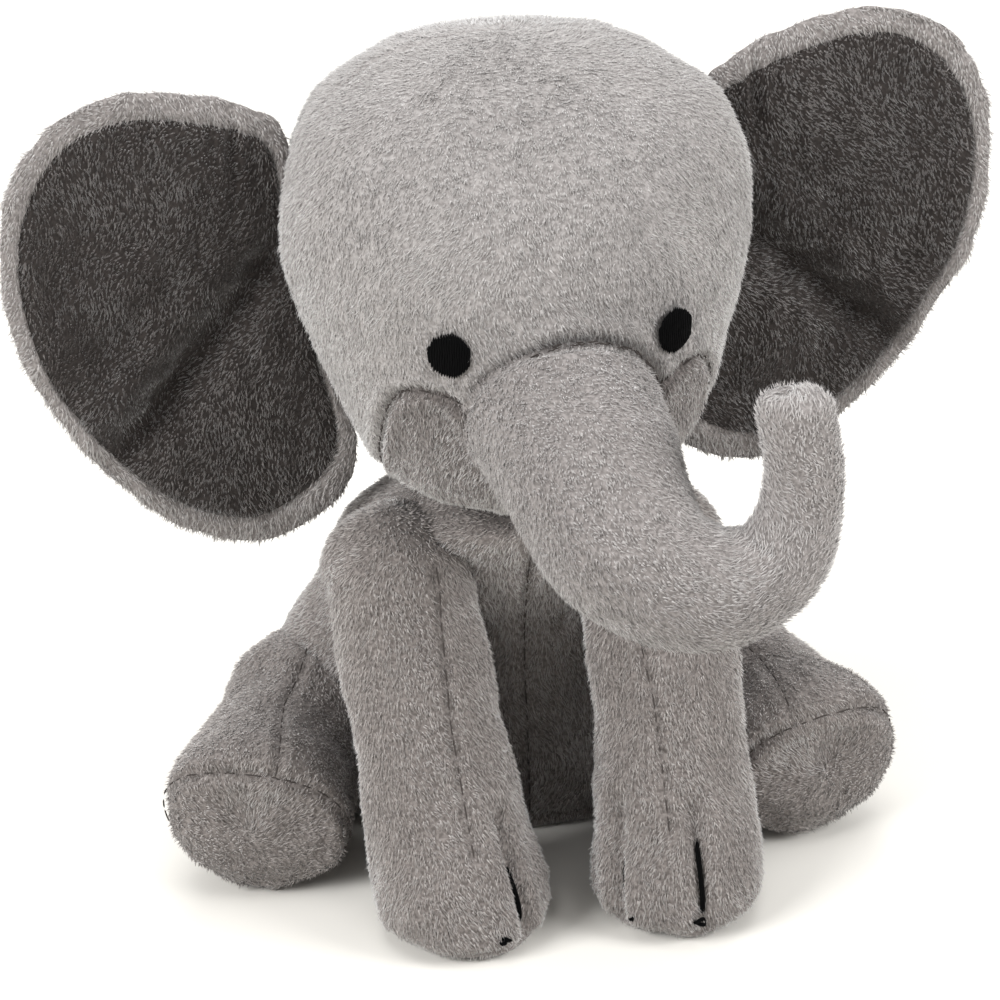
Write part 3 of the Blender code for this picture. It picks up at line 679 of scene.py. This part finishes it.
dice = np.random.default_rng(7)
for side, sign in SIDES:
    threads = []
    for x in np.arange(-EYE_HALF_WIDTH + 0.3, EYE_HALF_WIDTH - 0.2, 0.52):
        across = (x / EYE_HALF_WIDTH) ** 2
        half = EYE_HALF_HEIGHT * math.sqrt(1 - across) + dice.uniform(-0.25, 0.3)
        z = EYE_Z + np.linspace(-half, half, 14)
        up = ((z - EYE_Z) / (EYE_HALF_HEIGHT + 0.4)) ** 2
        dome = 0.5 + 0.5 * np.sqrt(np.clip(1 - across - up, 0, 1))
        wave = EYE_X * sign + FACE_SHIFT + x + 0.08 * np.sin(z * 1.3 + x)
        path = np.stack([wave, face_depth(wave, z) - dome, z], -1)
        threads.append((path, np.array([0.45 * sign, -1.0, 0.1]) + 0 * path))
    eye = sewn(f"eye_thread_{side}", threads, THREAD_RADIUS, THREAD, turned_head)
    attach(eye, "head")
    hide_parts(f"eye_{side}")

# ---------------------------------------------------------------- trunk

trunk = Form(TRUNK)


def bend_span(v):
    """Start and end points in the row frame for a bend at v."""
    near, far = (turned_head(trunk.station(v + d)[:3]) for d in (-BEND_REACH, BEND_REACH))
    return tuple(metres(near)), tuple(metres(far))


def trunk_tint(p):
    """Painted light: lighter towards the end of the trunk, which turns up into the light."""
    from_end = np.linalg.norm(p - trunk.station(trunk.last)[:3], axis=1)
    return 1.4 * np.exp(-(from_end / 48) ** 2) - 0.3


for name, span, joint, bodies, nodes, seed in (
        ("trunk_upper_skin", (0.15, TRUNK_SPLIT), 0, ("head", "trunk_middle"),
         ("trunk_root_cover", "trunk_root_stuffing", "trunk_middle_cover",
          "trunk_middle_stuffing"), 51),
        ("trunk_lower_skin", (TRUNK_SPLIT - 0.02, trunk.last), 1, ("trunk_middle", "trunk_tip"),
         ("trunk_tip_cover", "trunk_tip_stuffing", "trunk_end_disc"), 53)):
    skin = Skin(trunk, 96, 90, *span)
    skin.push(0.5 * soft_noise(skin.points, 26, 50))
    if joint == 0:
        skin.groove(ROOT_ARC, 1.8, 1.8)
    finish_skin(name, skin, "trunk", None, nodes, turned_head,
                (*bodies, *bend_span(TRUNK_BENDS[joint])), seed=seed, tint=trunk_tint)

# ---------------------------------------------------------------- ears


def closed_spline(corners, samples):
    """Points along a smooth closed curve through the corners."""
    ring = np.array(corners, float)
    t = np.linspace(0, len(ring), samples, endpoint=False)
    i = t.astype(int)
    f = (t - i)[:, None]
    a, b, c, d = (ring[(i + k - 1) % len(ring)] for k in range(4))
    return 0.5 * (2 * b + (c - a) * f + (2 * a - 5 * b + 4 * c - d) * f ** 2
                  + (3 * b - 3 * c + d - a) * f ** 3)


class Ear(Skin):
    """Ear surface from the middle of the lining (0) over the rim (1) to the middle behind (2)."""

    def __init__(self, start, stop, nv, sign, nu=200):
        rim = closed_spline(EAR_OUTLINE, nu) - EAR_CENTRE
        v = np.linspace(start, stop, nv + 1)[:, None] * np.ones((1, nu))
        share = np.sin(np.minimum(v, 2 - v) * math.pi / 2)
        flat = np.array(EAR_CENTRE) + share[..., None] * rim
        half = EAR_THICK / 2 * np.sqrt(np.clip(1 - share ** 3.5, 0, 1))
        outward = np.clip((flat[..., 0] - EAR_OUTLINE[0][0]) / 72, 0, 1)
        middle = EAR_ROOT_Y - EAR_SWEEP * outward ** 1.5 + EAR_CUP * (1 - share ** 2) * outward
        fold = distance_to(np.stack([flat[..., 0], 0 * flat[..., 0], flat[..., 1]], -1)
                           .reshape(-1, 3), EAR_FOLD)
        fold = fold.reshape(v.shape)
        above = above_fold(flat[..., 0], flat[..., 1])
        middle = middle + (6.2 * np.exp(-(fold / 5.6) ** 2)
                           - 2.2 * np.exp(-((above - 11) / 6.5) ** 2) * np.exp(-(fold / 18) ** 2)
                           ) * (1 - share ** 4)
        pinch = np.hypot(flat[..., 0] - EAR_PINCH[0], flat[..., 1] - EAR_PINCH[1])
        middle = middle + (0.6 * np.cos((flat[..., 0] - EAR_PINCH[0]) * 1.2)
                           * np.exp(-(pinch / 8) ** 2))
        y = middle + np.where(v < 1, -half, half)
        outer, lobe = EAR_SHIFT[sign]
        z = flat[..., 1] + outer * outward + lobe * np.clip((170 - flat[..., 1]) / 65, 0, 1)
        self.points = np.stack([flat[..., 0], y, z], -1)
        self.u, self.v, self.nu, self.nv = v * 0, v, nu, nv
        self.seams, self.stitched = [], []
        self.faces = grid_faces(nu, nv)
        self.push(-0.6 * PILE_DEPTH).lumps(0.8, 26, 60).lumps(0.35, 10, 61)

    def normals(self):
        """Outward normals: the lining faces forwards, the back backwards. Sets the nap too."""
        across = np.roll(self.points, -1, 1) - np.roll(self.points, 1, 1)
        along = np.gradient(self.points, axis=0)
        normal = np.cross(across, along)
        normal /= np.maximum(np.linalg.norm(normal, axis=-1, keepdims=True), 1e-9)
        front = self.v < 0.9
        probe = front if front.any() else self.v > 1.1
        facing = np.sum(normal[probe][:, 1])
        if (facing > 0) == bool(front.any()):
            normal = -normal
        self.along = np.zeros_like(self.points) + np.array([0.45, 0, -0.9])
        return normal


lining_end = 2 / math.pi * math.asin(EAR_RIM)
rim_line = np.array(EAR_CENTRE) + (closed_spline(EAR_OUTLINE, 240) - EAR_CENTRE) * EAR_RIM


def above_fold(x, z):
    """How far a place on an ear lies above the fold."""
    return (x - EAR_FOLD[0][0]) * FOLD_UP[0] + (z - EAR_FOLD[0][2]) * FOLD_UP[1]


def ear_tint(p, lining):
    """Painted light and shade on an ear: the lining lighter below the fold and towards the rim,
    where light falls, and darker down in the fold, where shade falls; the back darker along the
    sewn edge of the lining.
    """
    flat = p * np.array([1.0, 0, 1.0])
    to_rim = distance_to(flat, np.stack([rim_line[:, 0], 0 * rim_line[:, 0], rim_line[:, 1]], -1))
    if not lining:
        return 1.1 - 1.6 * np.exp(-(to_rim / 1.6) ** 2)
    below = -above_fold(flat[:, 0], flat[:, 2])
    return (0.75 * np.exp(-((below - 13) / 9) ** 2)
            - 0.9 * np.exp(-(distance_to(flat, EAR_FOLD) / 6) ** 2)
            + 0.5 * np.exp(-(to_rim / 3) ** 2) - 0.15)


for side, sign in SIDES:
    def place(points, sign=sign):
        return turned_head(points * np.array([sign, 1.0, 1.0]))

    for name, tone, span, nodes, seed in (
            ("lining", "lining", (0.0, lining_end), (f"ear_lining_{side}",), 71),
            ("back", "trunk", (lining_end - 0.01, 2.0),
             (f"ear_back_{side}", f"ear_batting_{side}"), 73)):
        skin = Ear(*span, 46 if name == "lining" else 80, sign)
        skin.push(-EAR_EDGE_DEPTH * np.exp(-((skin.v - lining_end) / 0.022) ** 2))
        finish_skin(f"ear_{name}_skin_{side}", skin, tone, f"ear_{side}", nodes, place=place,
                    seed=seed + (sign > 0), fill=0.7, swirl=0.8,
                    length=LINING_LENGTH if name == "lining" else PILE_LENGTH,
                    tint=lambda p, lining=name == "lining": ear_tint(p, lining))

# ---------------------------------------------------------------- legs

for side, sign in SIDES:
    def place(points, sign=sign):
        return points * np.array([sign, 1.0, 1.0])

    lean = LEG_LEAN[side]
    front = Form([(SHOULDER[0] + r[0] + lean * max(0, -r[2]) / 80, SHOULDER[1] + r[1],
                   SHOULDER[2] + r[2]) + r[3:] for r in FRONT_LEG], level=True)
    skin = Skin(front, 100, 90)
    skin.lumps(0.8, 26, 81 + (sign > 0)).lumps(0.3, 11, 83)
    seam_v = np.linspace(2.5, 7.0, 50)
    skin.groove(front.surface(np.interp(seam_v, (2.5, 4.3, 5.2, 7.0),
                                        (0.33, 0.312, 0.296, 0.286)), seam_v), 0.9, 1.2)
    skin.groove(front.surface(np.linspace(0, 1, 60), np.full(60, SOLE_SEAM)), 1.0, 1.3, False)
    for part, u in zip(("outer", "inner"), TOES[side]):
        if (side, part) != BURIED_TOE:
            skin.groove(front.surface(np.full(12, u), np.linspace(6.6, 9.3, 12)), 2.6, 2.4, False)
    flatten(skin)
    finish_skin(f"front_leg_skin_{side}", skin, "body", f"front_leg_{side}",
                (f"front_leg_cover_{side}", f"front_sole_{side}", f"front_leg_stuffing_{side}"),
                place, bare=below(LEG_BARE), seed=85 + (sign > 0))

    for part, u in zip(("outer", "inner"), TOES[side]):
        buried = (side, part) == BURIED_TOE
        top, knot_u, knot_v = TOE_KNOT[side, part]
        line_v = np.linspace(top, TOE_END, 24)
        line = front.surface(np.full(24, u), line_v)
        middle = front.station(line_v)[:, :3]
        inward = (middle - line) / np.linalg.norm(middle - line, axis=1, keepdims=True)
        bow = 0 if buried else 0.9 * np.sin(np.linspace(0, math.pi, 24))[:, None]
        stitch = line + inward * (TOE_DEPTH[side, part] - bow)
        knot_at = front.surface(u + knot_u, knot_v)
        knot_in = front.station(knot_v)[:3] - knot_at
        knot_depth = BURIED_KNOT_DEPTH if buried else KNOT_DEPTH
        knot_at = knot_at + knot_in / np.linalg.norm(knot_in) * knot_depth
        angle = np.linspace(0, 2 * math.pi, 24)
        loop = np.stack([np.cos(angle), 0.5 * np.sin(2 * angle), 0.55 * np.sin(angle)], -1)
        threads = [(path, -inward) for path in (stitch, stitch + np.array([0.5, 0, 0.3]),
                                                knot_at + 1.35 * loop, knot_at + 0.75 * loop)]
        toe = sewn(f"toe_thread_{part}_{side}", threads, THREAD_RADIUS, THREAD, place)
        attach(toe, f"front_leg_{side}")
        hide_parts(f"toe_stitch_{part}_{side}")

    hind = Form([tuple(HIP + np.array(r[:3])) + r[3:] for r in HIND_LEG])
    skin = Skin(hind, 100, 80)
    skin.lumps(0.9, 30, 91 + (sign > 0)).lumps(0.3, 11, 93)
    round_u = np.linspace(0, 1, 90)
    up = -np.sin(2 * math.pi * round_u)
    seam_v = HIND_SOLE_SEAM + np.where(up > 0, 1.75 * up, 1.3 * up)
    skin.groove(hind.surface(round_u, seam_v), 2.0, 1.5)
    skin.groove(hind.surface(np.linspace(0.76, 0.70, 40), np.linspace(2.0, 8.9, 40)), 1.2, 1.3)
    flatten(skin)
    finish_skin(f"hind_leg_skin_{side}", skin, "body", f"hind_leg_{side}",
                (f"hind_leg_cover_{side}", f"hind_sole_{side}", f"hind_leg_stuffing_{side}"),
                place, bare=below(LEG_BARE), seed=95 + (sign > 0))

# ---------------------------------------------------------------- tail

tail = Form([tuple(TAIL_ROOT + np.array(r[:3])) + r[3:] for r in TAIL])
finish_skin("tail_skin", Skin(tail, 40, 50), "body", "tail", ("tail",), seed=99)

# ---------------------------------------------------------------- floor and light

ground = bpy.data.meshes.new("floor")
ground.from_pydata([(-3, -3, 0), (3, -3, 0), (3, 3, 0), (-3, 3, 0)], [], [(0, 1, 2, 3)])
floor = bpy.data.objects.new("floor", ground)
bpy.context.scene.collection.objects.link(floor)
ground.materials.append(principled("paper", (0.80, 0.782, 0.738), 0.9)[0])

world = bpy.data.worlds.new("studio")
bpy.context.scene.world = world
world.use_nodes = True
world.node_tree.nodes["Background"].inputs["Color"].default_value = (1, 1, 1, 1)
world.node_tree.nodes["Background"].inputs["Strength"].default_value = 0.36
LIGHTS = (   # name, place, size and power
    ("top", (0.0, -0.25, 1.8), 1.2, 16), ("left", (-1.35, -0.8, 1.0), 0.8, 32),
    ("right", (1.35, -0.8, 0.95), 0.8, 26), ("back", (0.2, 1.2, 1.1), 1.0, 10))
LIT_POINT = Vector((0, -0.04, 0.11))
for name, spot, size, power in LIGHTS:
    data = bpy.data.lights.new(name, "AREA")
    data.size, data.energy = size, power
    lamp = bpy.data.objects.new(name, data)
    lamp.location = spot
    lamp.rotation_mode = "QUATERNION"
    lamp.rotation_quaternion = (LIT_POINT - Vector(spot)).to_track_quat("-Z", "Y")
    bpy.context.scene.collection.objects.link(lamp)
bpy.context.scene.view_settings.view_transform = "Standard"
